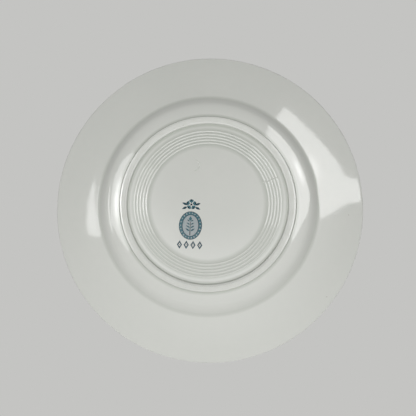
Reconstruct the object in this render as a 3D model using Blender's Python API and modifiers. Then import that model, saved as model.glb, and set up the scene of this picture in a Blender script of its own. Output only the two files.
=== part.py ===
"""A china dinner plate with a flat rim, a low foot ring and a reeded base.

The fired body is one turned solid. A glaze coat covers its face, rim and outer
back down to the foot ring, and a second coat covers the base inside the foot
ring: the foot's bearing edge between them stays bare. A small underglaze print,
a sprig device in an oval with a flower above it and four lozenges below it, lies
on the base. Metres, +Z up, the foot ring stands on z = 0, and the plate's axis
is the Z axis.
"""
import math

import bpy

MM = 0.001

# Overall sizes
PLATE_DIAMETER = 240.0 * MM
PLATE_HEIGHT = 22.5 * MM

# Thicknesses
BASE_THICKNESS = 4.8 * MM
RIM_THICKNESS = 4.4 * MM
LIP_THICKNESS = 3.6 * MM
LIP_ROUNDNESS = 0.98

# Foot ring: on each side a steep flank, a strip of glaze and a step down to the bare edge
FOOT_RADIUS = 66.2 * MM
FOOT_WIDTH = 6.4 * MM
FOOT_SHOULDER = 1.5 * MM
FOOT_FLANK_RUN = 1.0 * MM
FOOT_GLAZED_STRIP = 0.4 * MM
FOOT_BARE_STEP = 0.6 * MM
BASE_RECESS = 1.8 * MM

# Outer back, from the foot ring out: a shelf that steepens, the wall, and a rim that steepens
SHELF_WIDTH = 11.2 * MM
SHELF_SLOPE_AT_FOOT = math.radians(9.0)
SHELF_SLOPE_AT_WALL = math.radians(16.0)
SHELF_BEND_SHARE = 0.45
SHELF_TO_WALL_FILLET = 8.0 * MM
WALL_RUN = 6.2 * MM
WALL_TO_RIM_FILLET = 4.0 * MM
RIM_SLOPE_AT_WALL = math.radians(13.0)
RIM_SLOPE_AT_LIP = math.radians(17.0)
RIM_BEND_SHARE = 0.6

# Well, on the eating side
WELL_WALL_RUN = 12.0 * MM
FLOOR_TO_WALL_FILLET = 15.0 * MM
VERGE_FILLET = 7.0 * MM

# Fine rings in the base, set in from the foot ring's inner flank
REED_COUNT = 5
REED_SETBACK = 5.2 * MM
REED_PITCH = 2.24 * MM
REED_HEIGHT = 0.35 * MM

# Glaze, print and the gap that touching pieces keep
GLAZE_THICKNESS = 0.35 * MM
PRINT_THICKNESS = 0.25 * MM
GAP = 0.3 * MM

# Printed device on the base: across from the plate's axis, and in from the fine rings
PRINT_X = -12.5 * MM
PRINT_SETBACK = 10.0 * MM
PRINT_TURN = math.radians(2.0)
OVAL_WIDTH = 17.2 * MM
OVAL_HEIGHT = 21.0 * MM
OVAL_LINE = 1.5 * MM
SPRIG_HEIGHT = 14.0 * MM
SPRIG_WIDTH = 8.0 * MM
SPRIG_STEM = 0.9 * MM
SPRIG_LEAVES = 3
FLOWER_RADIUS = 4.2 * MM
FLOWER_WAVE = 0.45
FLOWER_PETALS = 5
LOZENGE_COUNT = 4
LOZENGE_WIDTH = 3.9 * MM
LOZENGE_HEIGHT = 6.2 * MM
LOZENGE_PITCH = 5.0 * MM
PRINT_SPACING = 0.8 * MM

# Facets
TURN_STEPS = 48
ARC_STEP = math.radians(15.0)
OVAL_POINTS = 32
FLOWER_POINTS = 40
SPRIG_POINTS = 18

# Linear colours
BISQUE = (0.62, 0.59, 0.53)
GLAZE_WHITE = (0.60, 0.61, 0.58)
PRINT_TEAL = (0.032, 0.095, 0.125)


# ---------------------------------------------------------------- profiles

def heading(start, end):
    """Unit direction from start to end."""
    run = end[0] - start[0]
    rise = end[1] - start[1]
    length = math.hypot(run, rise)
    return run / length, rise / length


def rounded(corners):
    """Path through (radius, height, fillet) corners, with an arc at each fillet."""
    path = [corners[0][:2]]
    for before, corner, after in zip(corners, corners[1:], corners[2:]):
        fillet = corner[2]
        if fillet == 0:
            path.append(corner[:2])
            continue
        into = heading(before, corner)
        out = heading(corner, after)
        turn = math.atan2(into[0] * out[1] - into[1] * out[0], into[0] * out[0] + into[1] * out[1])
        tangent = fillet * math.tan(abs(turn) / 2)
        side = math.copysign(1, turn)
        start = (corner[0] - into[0] * tangent, corner[1] - into[1] * tangent)
        centre = (start[0] - into[1] * fillet * side, start[1] + into[0] * fillet * side)
        steps = max(1, math.ceil(abs(turn) / ARC_STEP))
        for step in range(steps + 1):
            angle = turn * step / steps
            spoke = (start[0] - centre[0], start[1] - centre[1])
            path.append((
                centre[0] + spoke[0] * math.cos(angle) - spoke[1] * math.sin(angle),
                centre[1] + spoke[0] * math.sin(angle) + spoke[1] * math.cos(angle),
            ))
    path.append(corners[-1][:2])
    return path


def inset(path, depth):
    """The path moved by depth to its right-hand side, mitred at its corners."""
    moved = []
    for index, (radius, height) in enumerate(path):
        into = heading(*path[index - 1:index + 1]) if index else heading(*path[:2])
        last = index == len(path) - 1
        out = into if last else heading(*path[index:index + 2])
        right = (into[1] + out[1], -into[0] - out[0])
        reach = depth / (1 + into[0] * out[0] + into[1] * out[1])
        moved.append((radius + right[0] * reach, height + right[1] * reach))
    return moved


def wall_top_radius():
    """Where the outer wall meets the underside of the rim."""
    return FOOT_RADIUS + SHELF_WIDTH + WALL_RUN


def rim_bend():
    """Radius at which the rim's slope changes, and the fillet that spreads the change."""
    edge = PLATE_DIAMETER / 2
    half_rim = (edge - wall_top_radius()) / 2
    turn = RIM_SLOPE_AT_LIP - RIM_SLOPE_AT_WALL
    return edge - half_rim, RIM_BEND_SHARE * half_rim / math.tan(turn / 2)


def rim_height(radius, thickness):
    """Height of the rim at a radius, a thickness below its upper face.

    The face runs up to the round lip, whose crown is the plate's highest line.
    """
    lip_round = LIP_THICKNESS / 2
    lip_radius = PLATE_DIAMETER / 2 - lip_round
    face_over_lip = PLATE_HEIGHT - lip_round + lip_round / math.cos(RIM_SLOPE_AT_LIP)
    bend = rim_bend()[0]
    outer_run = lip_radius - max(radius, bend)
    inner_run = bend - min(radius, bend)
    drop = outer_run * math.tan(RIM_SLOPE_AT_LIP) + inner_run * math.tan(RIM_SLOPE_AT_WALL)
    return face_over_lip - drop - thickness


def face_corners():
    """Eating side, from the axis out to the upper corner of the lip."""
    floor = BASE_RECESS + BASE_THICKNESS
    verge = wall_top_radius() + RIM_THICKNESS * math.tan(RIM_SLOPE_AT_WALL)
    bend, fillet = rim_bend()
    edge = PLATE_DIAMETER / 2
    return [
        (0, floor, 0),
        (verge - WELL_WALL_RUN, floor, FLOOR_TO_WALL_FILLET),
        (verge, rim_height(verge, 0), VERGE_FILLET),
        (bend, rim_height(bend, 0), fillet),
        (edge, rim_height(edge, 0), LIP_THICKNESS / 2 * LIP_ROUNDNESS),
    ]


def back_corners():
    """Underside, from the lower corner of the lip in to the foot ring's outer flank."""
    edge = PLATE_DIAMETER / 2
    edge_thickness = LIP_THICKNESS / math.cos(RIM_SLOPE_AT_LIP)
    bend, fillet = rim_bend()
    wall_top = wall_top_radius()
    half_shelf = SHELF_WIDTH / 2
    shelf_middle = FOOT_SHOULDER + half_shelf * math.tan(SHELF_SLOPE_AT_FOOT)
    shelf_end = shelf_middle + half_shelf * math.tan(SHELF_SLOPE_AT_WALL)
    shelf_turn = SHELF_SLOPE_AT_WALL - SHELF_SLOPE_AT_FOOT
    shelf_fillet = SHELF_BEND_SHARE * half_shelf / math.tan(shelf_turn / 2)
    return [
        (edge, rim_height(edge, edge_thickness), LIP_THICKNESS / 2 * LIP_ROUNDNESS),
        (bend, rim_height(bend, (edge_thickness + RIM_THICKNESS) / 2), fillet),
        (wall_top, rim_height(wall_top, RIM_THICKNESS), WALL_TO_RIM_FILLET),
        (FOOT_RADIUS + SHELF_WIDTH, shelf_end, SHELF_TO_WALL_FILLET),
        (FOOT_RADIUS + half_shelf, shelf_middle, shelf_fillet),
        (FOOT_RADIUS, FOOT_SHOULDER, 0),
        (FOOT_RADIUS - FOOT_FLANK_RUN, GAP, 0),
        (glaze_edges()[1], GAP, 0),
    ]


def glaze_edges():
    """Radii at which the base glaze and the outer glaze stop on the foot ring."""
    glazed = FOOT_FLANK_RUN + FOOT_GLAZED_STRIP
    return FOOT_RADIUS - FOOT_WIDTH + glazed, FOOT_RADIUS - glazed


def bare_edges():
    """Inner and outer radius of the foot ring's bare bearing face."""
    inner, outer = glaze_edges()
    return inner + FOOT_BARE_STEP, outer - FOOT_BARE_STEP


def field_radius():
    """Radius of the plain field inside the fine rings."""
    return FOOT_RADIUS - FOOT_WIDTH - REED_SETBACK - (REED_COUNT - 0.5) * REED_PITCH


def base_path():
    """Underside inside the foot ring, from its inner flank in to the axis."""
    flank_top = FOOT_RADIUS - FOOT_WIDTH
    path = [
        (glaze_edges()[0], GAP),
        (flank_top + FOOT_FLANK_RUN, GAP),
        (flank_top, BASE_RECESS),
    ]
    for reed in range(REED_COUNT):
        crest = flank_top - REED_SETBACK - reed * REED_PITCH
        path.append((crest + REED_PITCH / 2, BASE_RECESS))
        path.append((crest, BASE_RECESS - REED_HEIGHT))
    path.append((field_radius(), BASE_RECESS))
    path.append((0, BASE_RECESS))
    return path


# ---------------------------------------------------------------- making

def material(name, colour, roughness):
    """A Principled material with one colour and roughness."""
    made = bpy.data.materials.new(name)
    made.use_nodes = True
    shader = made.node_tree.nodes["Principled BSDF"]
    shader.inputs["Base Color"].default_value = (*colour, 1)
    shader.inputs["Roughness"].default_value = roughness
    shader.inputs["Metallic"].default_value = 0
    made.diffuse_color = (*colour, 1)
    return made


def turned(name, profile, finish, collection):
    """A solid of revolution about Z from a profile that starts and ends on the axis."""
    mesh = bpy.data.meshes.new(name)
    points = [(radius, 0, height) for radius, height in profile]
    edges = [(index, index + 1) for index in range(len(points) - 1)]
    mesh.from_pydata(points, edges, [])
    piece = bpy.data.objects.new(name, mesh)
    collection.objects.link(piece)
    screw = piece.modifiers.new("Turn", "SCREW")
    screw.axis = "Z"
    screw.angle = math.tau
    screw.steps = TURN_STEPS
    screw.render_steps = TURN_STEPS
    screw.use_merge_vertices = True
    screw.merge_threshold = 0.00001
    screw.use_smooth_shade = True
    mesh.materials.append(finish)
    return piece


def flat_print(name, outlines, place, finish, collection):
    """A thin flat island of print, from closed outlines about its own place."""
    curve = bpy.data.curves.new(name, "CURVE")
    curve.dimensions = "2D"
    curve.fill_mode = "BOTH"
    curve.extrude = PRINT_THICKNESS / 2
    for outline in outlines:
        spline = curve.splines.new("POLY")
        spline.points.add(len(outline) - 1)
        for point, (x, y) in zip(spline.points, outline):
            point.co = (x, y, 0, 1)
        spline.use_cyclic_u = True
    piece = bpy.data.objects.new(name, curve)
    below_oval = OVAL_HEIGHT / 2 + PRINT_SPACING + LOZENGE_HEIGHT
    centre_y = field_radius() - PRINT_SETBACK - below_oval
    cosine = math.cos(PRINT_TURN)
    sine = math.sin(PRINT_TURN)
    piece.location = (
        PRINT_X + place[0] * cosine - place[1] * sine,
        centre_y + place[0] * sine + place[1] * cosine,
        BASE_RECESS - GAP - PRINT_THICKNESS / 2,
    )
    piece.rotation_euler = (0, 0, PRINT_TURN)
    collection.objects.link(piece)
    curve.materials.append(finish)
    return piece


# ---------------------------------------------------------------- pieces

def plate_body(collection):
    """The fired body, which fills the glaze and stands on its bare foot edge."""
    cover = GLAZE_THICKNESS + GAP
    outer = inset(rounded(face_corners() + back_corners()), cover)
    inner = inset(base_path(), cover)
    bearing = [(radius, 0) for radius in reversed(bare_edges())]
    turned("plate_body", outer + bearing + inner, material("fired_body", BISQUE, 0.75), collection)


def glaze_outer(collection):
    """The glaze coat on the face, rim and outer back."""
    surface = rounded(face_corners() + back_corners())
    backing = inset(surface, GLAZE_THICKNESS)
    finish = material("glaze", GLAZE_WHITE, 0.12)
    turned("glaze_outer", surface + backing[::-1], finish, collection)


def glaze_base(collection):
    """The glaze coat on the base, inside the foot ring."""
    surface = base_path()
    backing = inset(surface, GLAZE_THICKNESS)
    finish = material("base_glaze", GLAZE_WHITE, 0.15)
    turned("glaze_base", backing[::-1] + surface, finish, collection)


def ellipse(width, height):
    """Points round an ellipse."""
    turns = [math.tau * step / OVAL_POINTS for step in range(OVAL_POINTS)]
    return [(width / 2 * math.cos(turn), height / 2 * math.sin(turn)) for turn in turns]


def print_oval(collection, finish):
    """The oval line round the sprig."""
    line = 2 * OVAL_LINE
    outlines = [ellipse(OVAL_WIDTH, OVAL_HEIGHT), ellipse(OVAL_WIDTH - line, OVAL_HEIGHT - line)]
    flat_print("print_oval", outlines, (0, 0), finish, collection)


def print_sprig(collection, finish):
    """An upright sprig, a stem that swells into pairs of leaves."""
    side = []
    for step in range(1, SPRIG_POINTS):
        share = step / SPRIG_POINTS
        leaf = abs(math.sin(math.pi * SPRIG_LEAVES * share)) * (1 - share / 2)
        width = SPRIG_STEM / 2 + (SPRIG_WIDTH - SPRIG_STEM) / 2 * leaf
        side.append((width, SPRIG_HEIGHT * (share - 0.5)))
    foot = (0, -SPRIG_HEIGHT / 2)
    tip = (0, SPRIG_HEIGHT / 2)
    outline = [foot] + side + [tip] + [(-x, y) for x, y in reversed(side)]
    flat_print("print_sprig", [[(x, -y) for x, y in outline]], (0, 0), finish, collection)


def print_flower(collection, finish):
    """A five-petalled flower above the oval."""
    outline = []
    for step in range(FLOWER_POINTS):
        turn = math.tau * step / FLOWER_POINTS
        petal = abs(math.cos(FLOWER_PETALS * turn / 2))
        reach = FLOWER_RADIUS * (1 - FLOWER_WAVE + FLOWER_WAVE * petal)
        outline.append((reach * math.sin(turn), -reach * math.cos(turn)))
    place = (0, -OVAL_HEIGHT / 2 - PRINT_SPACING - FLOWER_RADIUS)
    flat_print("print_flower", [outline], place, finish, collection)


def print_lozenges(collection, finish):
    """A row of lozenges below the oval."""
    half_width = LOZENGE_WIDTH / 2
    half_height = LOZENGE_HEIGHT / 2
    outline = [(half_width, 0), (0, half_height), (-half_width, 0), (0, -half_height)]
    row = OVAL_HEIGHT / 2 + PRINT_SPACING + half_height
    for number in range(LOZENGE_COUNT):
        place = ((number - (LOZENGE_COUNT - 1) / 2) * LOZENGE_PITCH, row)
        flat_print(f"print_lozenge_{number + 1}", [outline], place, finish, collection)


def main():
    for old in list(bpy.data.objects):
        bpy.data.objects.remove(old, do_unlink=True)
    plate = bpy.data.collections.new("dinner_plate")
    bpy.context.scene.collection.children.link(plate)
    plate_body(plate)
    glaze_outer(plate)
    glaze_base(plate)
    ink = material("underglaze_print", PRINT_TEAL, 0.3)
    print_oval(plate, ink)
    print_sprig(plate, ink)
    print_flower(plate, ink)
    print_lozenges(plate, ink)


main()
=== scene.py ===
"""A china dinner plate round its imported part: glaze coats, dry foot edge, blue-green print.

Laid out as an add-on and run as a script. Metres, +Z up, the plate stands on its foot ring.
"""
import math

import bmesh
import bpy
import numpy as np
from mathutils import Matrix, Vector


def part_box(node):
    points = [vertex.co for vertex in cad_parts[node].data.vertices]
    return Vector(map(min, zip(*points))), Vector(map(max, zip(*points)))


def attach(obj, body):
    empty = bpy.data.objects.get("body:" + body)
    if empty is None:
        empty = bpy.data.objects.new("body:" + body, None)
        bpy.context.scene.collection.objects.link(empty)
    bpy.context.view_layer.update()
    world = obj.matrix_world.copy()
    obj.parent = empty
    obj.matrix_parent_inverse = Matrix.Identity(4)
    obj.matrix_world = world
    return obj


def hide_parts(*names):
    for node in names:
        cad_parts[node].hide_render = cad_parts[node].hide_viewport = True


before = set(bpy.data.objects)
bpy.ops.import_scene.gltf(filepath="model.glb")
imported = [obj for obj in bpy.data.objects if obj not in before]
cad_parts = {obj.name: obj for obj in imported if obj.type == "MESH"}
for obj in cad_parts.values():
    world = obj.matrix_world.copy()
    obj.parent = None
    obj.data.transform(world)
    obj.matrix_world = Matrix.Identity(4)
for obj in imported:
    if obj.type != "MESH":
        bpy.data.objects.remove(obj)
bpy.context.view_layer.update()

bl_info = {
    "name": "China Dinner Plate",
    "version": (1, 0, 0),
    "blender": (4, 5, 0),
    "location": "3D View > Sidebar > Plate",
    "description": "Builds a glazed china dinner plate with a reeded base and a small print",
    "category": "Add Mesh",
}

MM = 0.001
BODY = "root"
OUTER_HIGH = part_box("glaze_outer")[1]
OVAL_LOW, OVAL_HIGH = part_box("print_oval")
FLOWER_LOW, FLOWER_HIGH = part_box("print_flower")
SPRIG_LOW, SPRIG_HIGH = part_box("print_sprig")
LOZENGES = [f"print_lozenge_{number}" for number in range(1, 5)]

# How finely the turned pieces are cut
TURN_STEPS = 240
ARC_STEP = math.radians(6)
ARC_CHORD = 1.6 * MM
RUN_STEP = 3.5 * MM
MERGE = 0.002 * MM
SHARP = math.radians(50)
BODY_GAP = 0.02 * MM
WARP_SEED = 3.0

# How much of the lip is round, and how much of rim and shelf the bends in their slopes take up
LIP_ROUNDNESS = 0.98
RIM_BEND_SHARE = 0.9
SHELF_BEND_SHARE = 0.6

# Darker glaze in creases, partly glaze gathered there and partly painted shade: how far along
# the surface and how deep a crease counts, and how much lies between the fine rings
POOL_AND_SHADE_REACH = 0.5 * MM
POOL_AND_SHADE_DEPTH = 0.06 * MM
VALLEY_POOL_AND_SHADE = 0.6
VALLEY_DEPTH = 0.02 * MM

# Glaze pattern: where the mottle begins and ends, its strength, and the gloss at its two ends
MOTTLE_LOW, MOTTLE_HIGH = 0.3, 0.7
MOTTLE_STRENGTH = 0.35
GLOSS_LOW, GLOSS_HIGH = 0.05, 0.09
GLAZE_IOR = 1.55
# Pinholes: share of places without one, its core and edge as shares of a place, its tint
PITLESS_SHARE = 0.88
PIT_CORE, PIT_EDGE = 0.03, 0.065
PIT_TINT = 0.45
# Depths of the relief in glaze and biscuit
RIPPLE_DEPTH = 0.05 * MM
PEEL_DEPTH = 0.004 * MM
PIT_DEPTH = 0.05 * MM
GRAIN_DEPTH = 0.03 * MM
# Ground biscuit: where its stains begin and end, and how rough its grain leaves it
STAIN_LOW, STAIN_HIGH = 0.35, 0.7
BISCUIT_SMOOTH, BISCUIT_ROUGH = 0.6, 0.85
BISCUIT_IOR = 1.5
# Ink: how far uneven pressure shifts the wear, the level at which it starts, how it fades, gloss
PRESSED_SHIFT = 0.06
WEAR_LEVEL = 1.3
WEAR_FADE = 0.14
INK_GLOSS = 0.07
# Floor paint: its darker tone and the size of its mottle
PAINT_SHADE = 0.96
PAINT_MOTTLE = 400 * MM

# Dashes of the print: how uneven their size is, how many films thick, their random draw
DASH_LEAST, DASH_MOST = 0.6, 1.1
DASH_FILMS = 6
DASH_SEED = 5
# Points round the flower's spots and the lozenges' dots
SPOT_POINTS = 20
DOT_POINTS = 12
# Passes of ink in the order laid: material, thick ink, ink where worn, share of it worn
PASSES = {
    "field": ("underglaze_wash", "field", "wash", 0.2),
    "fill": ("underglaze_ink_fill", "fill", "wash", 0.1),
    "ink": ("underglaze_ink_line", "ink", "fill", 0.16),
    "dark": ("underglaze_ink_thick", "dark", "ink", 0.12),
}
# Leaves, petals and strokes: a lean under 1 puts the widest place nearer the stem, a fullness
# under 1 rounds the sides, and the taper is the width left at a stroke's end
LEAF_LEAN = 0.8
PETAL_LEAN = 1.4
PETAL_FULLNESS = 0.8
STROKE_TAPER = 0.5
# Sprig: places as shares of half its height, sizes as shares of its height, its width or the
# leaf's span, and the widths of stem and veins in fine lines
STEM_TOP = 0.42
STEM_LINES = 1.4
LEAF_START, LEAF_STEP = 0.62, 0.34
LEAF_SPAN, LEAF_SHRINK = 0.5, 0.06
LEAF_WIDTH = 0.34
LEAF_TURN = math.radians(58)
VEIN_START, VEIN_END = 0.3, 0.85
VEIN_LINES = 0.8
BUD_PLACE, BUD_SPAN, BUD_WIDTH = 0.5, 0.24, 0.3
# Flower: sizes as shares of its reach, and each side's leaves as their lift and their drop
PETAL_WIDTH = 0.86
EYE_WIDTH = 0.36
TIP_PLACE, TIP_SIZE = 0.82, (0.26, 0.34)
SIDE_LEAVES = ((math.radians(22), 0.1), (math.radians(-24), 0.5))
SIDE_PLACE = 0.78
SIDE_SPAN, SIDE_WIDTH = 1.05, 0.42
# Lozenges: the hole as a share of its size, and the dot as shares of its width
LOZENGE_HOLE = 0.45
LOZENGE_DOT = (0.14, 0.2)

# Kiln marks: the ridge's turn about the axis, how far it runs outside the outermost ring and
# inside the innermost as shares of their pitch, the beads' sizes, the crescent's place and reach
RIDGE_TURN = math.radians(-20)
RIDGE_OUTSIDE, RIDGE_INSIDE = 0.6, 0.8
RIDGE_RADIUS = 0.6 * MM
RIDGE_SINK = 0.1 * MM
CRESCENT_RADIUS = 0.45 * MM
CRESCENT_CENTRE = (-9.8 * MM, -28.4 * MM)
CRESCENT_REACH = (3.6 * MM, 4.3 * MM)
BEAD_FLATNESS = 0.5
BEAD_END = 0.25


# ---------------------------------------------------------------- sizes and colours

def length(name, description, size):
    """A property for a size in metres."""
    return bpy.props.FloatProperty(
        name=name, description=description, default=size, min=0, unit="LENGTH", precision=5
    )


def slope(name, description, degrees):
    """A property for an angle."""
    return bpy.props.FloatProperty(
        name=name, description=description, default=math.radians(degrees), unit="ROTATION"
    )


def amount(name, description, value):
    """A property for a plain number."""
    return bpy.props.FloatProperty(name=name, description=description, default=value)


def linear(hex_colour):
    """Linear RGB of an sRGB hex colour."""
    parts = [int(hex_colour[place:place + 2], 16) / 255 for place in (1, 3, 5)]
    return tuple(x / 12.92 if x <= 0.04045 else ((x + 0.055) / 1.055) ** 2.4 for x in parts)


def colour(name, description, hex_colour):
    """A property for a colour, given as sRGB hex."""
    return bpy.props.FloatVectorProperty(
        name=name, description=description, default=linear(hex_colour), size=3,
        min=0, max=1, subtype="COLOR",
    )


class PlateShape(bpy.types.PropertyGroup):
    """Sizes of the turned plate."""
    rim_radius: length("Rim radius", "Half the plate's diameter", OUTER_HIGH.x)
    height: length("Height", "From the foot ring's bearing edge to the lip", OUTER_HIGH.z)
    glaze: length("Glaze", "Thickness of the glaze coats", 0.35 * MM)
    base: length("Base", "Thickness of the base with its glaze", 4.8 * MM)
    rim: length("Rim", "Thickness of the rim where it leaves the wall", 4.4 * MM)
    lip: length("Lip", "Thickness of the rim at its round lip", 3.6 * MM)
    rim_slope: slope("Rim slope", "Slope of the rim beside the wall", 12.8)
    lip_slope: slope("Lip slope", "Slope of the rim at the lip", 17.4)
    foot_radius: length("Foot radius", "Outer radius of the foot ring", 66.2 * MM)
    foot_width: length("Foot width", "From one side of the foot ring to the other", 6.4 * MM)
    foot_shoulder: length("Foot shoulder", "Height at which the back leaves the foot", 1.5 * MM)
    foot_crest: length("Foot crest", "Height of the foot's glazed edges", 0.22 * MM)
    foot_round: length("Foot round", "Rounding of the foot's glazed edges", 0.5 * MM)
    foot_crease: length("Foot crease", "Rounding of the creases beside the foot", 0.3 * MM)
    flank_run: length("Flank run", "Width of the foot's steep flanks", 0.8 * MM)
    bare_inset: length("Bare inset", "From the foot's side to its bare edge", 2.0 * MM)
    bare_drop: length("Bare drop", "How far the bare edge stands below the glaze", 0.05 * MM)
    recess: length("Recess", "Height of the base above the bearing edge", 1.8 * MM)
    shelf: length("Shelf", "Width of the shelf between foot and wall", 11.2 * MM)
    shelf_slope: slope("Shelf slope", "Slope of the shelf beside the foot", 9.0)
    shelf_rise: slope("Shelf rise", "Slope of the shelf beside the wall", 16.0)
    shelf_fillet: length("Shelf fillet", "Rounding from shelf to wall", 10.0 * MM)
    wall_run: length("Wall run", "Width of the outer wall", 5.5 * MM)
    wall_fillet: length("Wall fillet", "Rounding from wall to rim", 7.0 * MM)
    well_run: length("Well run", "Width of the wall inside the well", 12.0 * MM)
    well_fillet: length("Well fillet", "Rounding from the well's floor to its wall", 15.0 * MM)
    verge_fillet: length("Verge fillet", "Rounding from the well's wall to the rim", 7.0 * MM)
    reeds: bpy.props.IntProperty(name="Reeds", description="Fine rings in the base", default=5)
    reed_setback: length("Reed setback", "From the foot to the outermost crest", 5.2 * MM)
    reed_pitch: length("Reed pitch", "From one fine ring to the next", 2.24 * MM)
    reed_reach: length("Reed reach", "From a fine ring's crest to its foot", 0.75 * MM)
    reed_height: length("Reed height", "How far the fine rings stand out", 0.18 * MM)
    reed_round: length("Reed round", "Rounding of crests and their feet", 0.4 * MM)
    warp: length("Warp", "How far firing has moved the rim up or down", 0.12 * MM)
    warp_size: length("Warp size", "Distance over which the warp changes", 70 * MM)


class PrintLook(bpy.types.PropertyGroup):
    """Sizes and inks of the underglaze print."""
    turn: slope("Turn", "Turn of the print on the base", 2.0)
    film: length("Film", "Thickness of one pass of ink", 0.02 * MM)
    line: length("Line", "Width of the fine lines", 0.45 * MM)
    band: length("Band", "Width of the band round the sprig", 2.5 * MM)
    dashes: bpy.props.IntProperty(
        name="Dashes", description="Pale dashes in the band round the sprig", default=22
    )
    dash: length("Dash", "Width of a dash", 0.8 * MM)
    leaves: bpy.props.IntProperty(name="Leaves", description="Pairs of leaves", default=4)
    petals: bpy.props.IntProperty(name="Petals", description="Petals of the flower", default=5)
    patch: length("Patch", "Size of the worn patches", 2.4 * MM)
    dots: length("Dots", "Size of the finest breaks in the ink", 0.6 * MM)
    dark: colour("Dark", "Ink where it lies thick", "#101B26")
    ink: colour("Ink", "Ink in the lines", "#23434F")
    fill: colour("Fill", "Ink in the filled shapes", "#3F6C76")
    wash: colour("Wash", "Ink where it is worn thin", "#93AAAC")
    field: colour("Field", "Thin film inside the oval", "#A8AFB1")


class GlazeLook(bpy.types.PropertyGroup):
    """Colours and pattern sizes of glaze and body."""
    glaze: colour("Glaze", "Glaze over the white body", "#DFE0DA")
    deep: colour("Deep", "Glaze where it lies thicker", "#D8DAD4")
    base_glaze: colour("Base glaze", "Thinner glaze on the base", "#DFE0DA")
    base_deep: colour("Base deep", "Base glaze where it lies thicker", "#D9DBD5")
    # Darker colour of the creases: partly gathered glaze, partly painted shade
    pool: colour("Pool", "Glaze pooled in a crease", "#BFC3BA")
    speck: colour("Speck", "Iron speck in the glaze", "#8F8272")
    body: colour("Body", "Ground biscuit of the foot edge", "#DEE0DA")
    body_worn: colour("Worn body", "Biscuit stained by use", "#D9DAD3")
    clouds: length("Clouds", "Size of the soft changes of tone", 55 * MM)
    mottle: length("Mottle", "Size of the fine changes of tone", 6 * MM)
    ripple: length("Ripple", "Size of the soft waves in the gloss", 16 * MM)
    peel: length("Orange peel", "Size of the fine dimples in the gloss", 2.6 * MM)
    pits: length("Pits", "Distance between pinholes", 9 * MM)
    grain: length("Grain", "Size of the biscuit's grain", 0.5 * MM)


class StageLook(bpy.types.PropertyGroup):
    """Camera, backdrop and lights."""
    lens: amount("Lens", "Camera's focal length in millimetres", 40.85)
    distance: length("Distance", "From the camera to the plate's foot", 350 * MM)
    tip: slope("Tip", "How far the plate tips about the picture's width", -6.18)
    swing: slope("Swing", "How far the plate swings about the picture's height", -2.21)
    aside: length("Aside", "How far the plate's axis lies left of centre", 0.56 * MM)
    above: length("Above", "How far the plate's axis lies above centre", 4.12 * MM)
    floor: colour("Floor", "Plain floor", "#D2D2D0")
    backdrop: colour("Backdrop", "What shows behind the plate", "#C4C4C2")


# ---------------------------------------------------------------- profiles

def heading(start, end):
    """Unit direction from start to end."""
    run = end[0] - start[0]
    rise = end[1] - start[1]
    span = math.hypot(run, rise)
    return run / span, rise / span


def rounded(corners):
    """Path through (radius, height, fillet) corners, with a fine arc at each fillet."""
    path = [corners[0][:2]]
    for before, corner, after in zip(corners, corners[1:], corners[2:]):
        fillet = corner[2]
        into = heading(before, corner)
        out = heading(corner, after)
        turn = math.atan2(into[0] * out[1] - into[1] * out[0], into[0] * out[0] + into[1] * out[1])
        tangent = fillet * math.tan(abs(turn) / 2)
        side = math.copysign(1, turn)
        start = (corner[0] - into[0] * tangent, corner[1] - into[1] * tangent)
        centre = (start[0] - into[1] * fillet * side, start[1] + into[0] * fillet * side)
        steps = math.ceil(max(abs(turn) / ARC_STEP, abs(turn) * fillet / ARC_CHORD))
        for step in range(steps + 1 if fillet else 1):
            angle = turn * step / steps
            spoke = (start[0] - centre[0], start[1] - centre[1])
            path.append((
                centre[0] + spoke[0] * math.cos(angle) - spoke[1] * math.sin(angle),
                centre[1] + spoke[0] * math.sin(angle) + spoke[1] * math.cos(angle),
            ))
    path.append(corners[-1][:2])
    return path


def divided(path):
    """The path with points added along its long straight runs."""
    finer = [path[0]]
    for start, end in zip(path, path[1:]):
        parts = math.ceil(math.dist(start, end) / RUN_STEP)
        for part in range(1, parts + 1):
            share = part / parts
            finer.append((
                start[0] + (end[0] - start[0]) * share,
                start[1] + (end[1] - start[1]) * share,
            ))
    return finer


def inset(path, depth):
    """The path moved by depth to its right-hand side, mitred at its corners."""
    moved = []
    last = len(path) - 1
    for index, (radius, height) in enumerate(path):
        into = heading(*path[index - 1:index + 1]) if index else heading(*path[:2])
        out = into if index == last else heading(*path[index:index + 2])
        right = (into[1] + out[1], -into[0] - out[0])
        reach = depth / (1 + into[0] * out[0] + into[1] * out[1])
        moved.append((radius + right[0] * reach, height + right[1] * reach))
    return moved


def wall_top(shape):
    """Radius where the outer wall meets the rim."""
    return shape.foot_radius + shape.shelf + shape.wall_run


def rim_bend(shape):
    """Radius at which the rim's slope changes, and the fillet that spreads the change."""
    half_rim = (shape.rim_radius - wall_top(shape)) / 2
    turn = shape.lip_slope - shape.rim_slope
    return shape.rim_radius - half_rim, RIM_BEND_SHARE * half_rim / math.tan(turn / 2)


def rim_height(shape, radius, thickness):
    """Height of the rim at a radius, a thickness below its upper face."""
    lip_round = shape.lip / 2
    lip_radius = shape.rim_radius - lip_round
    face_over_lip = shape.height - lip_round + lip_round / math.cos(shape.lip_slope)
    bend = rim_bend(shape)[0]
    drop = (lip_radius - max(radius, bend)) * math.tan(shape.lip_slope)
    drop += (bend - min(radius, bend)) * math.tan(shape.rim_slope)
    return face_over_lip - drop - thickness


def face_corners(shape):
    """Eating side, from the axis out to the upper corner of the lip."""
    floor = shape.recess + shape.base
    verge = wall_top(shape) + shape.rim * math.tan(shape.rim_slope)
    bend, fillet = rim_bend(shape)
    edge = shape.rim_radius
    return [
        (0, floor, 0),
        (verge - shape.well_run, floor, shape.well_fillet),
        (verge, rim_height(shape, verge, 0), shape.verge_fillet),
        (bend, rim_height(shape, bend, 0), fillet),
        (edge, rim_height(shape, edge, 0), shape.lip / 2 * LIP_ROUNDNESS),
    ]


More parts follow.
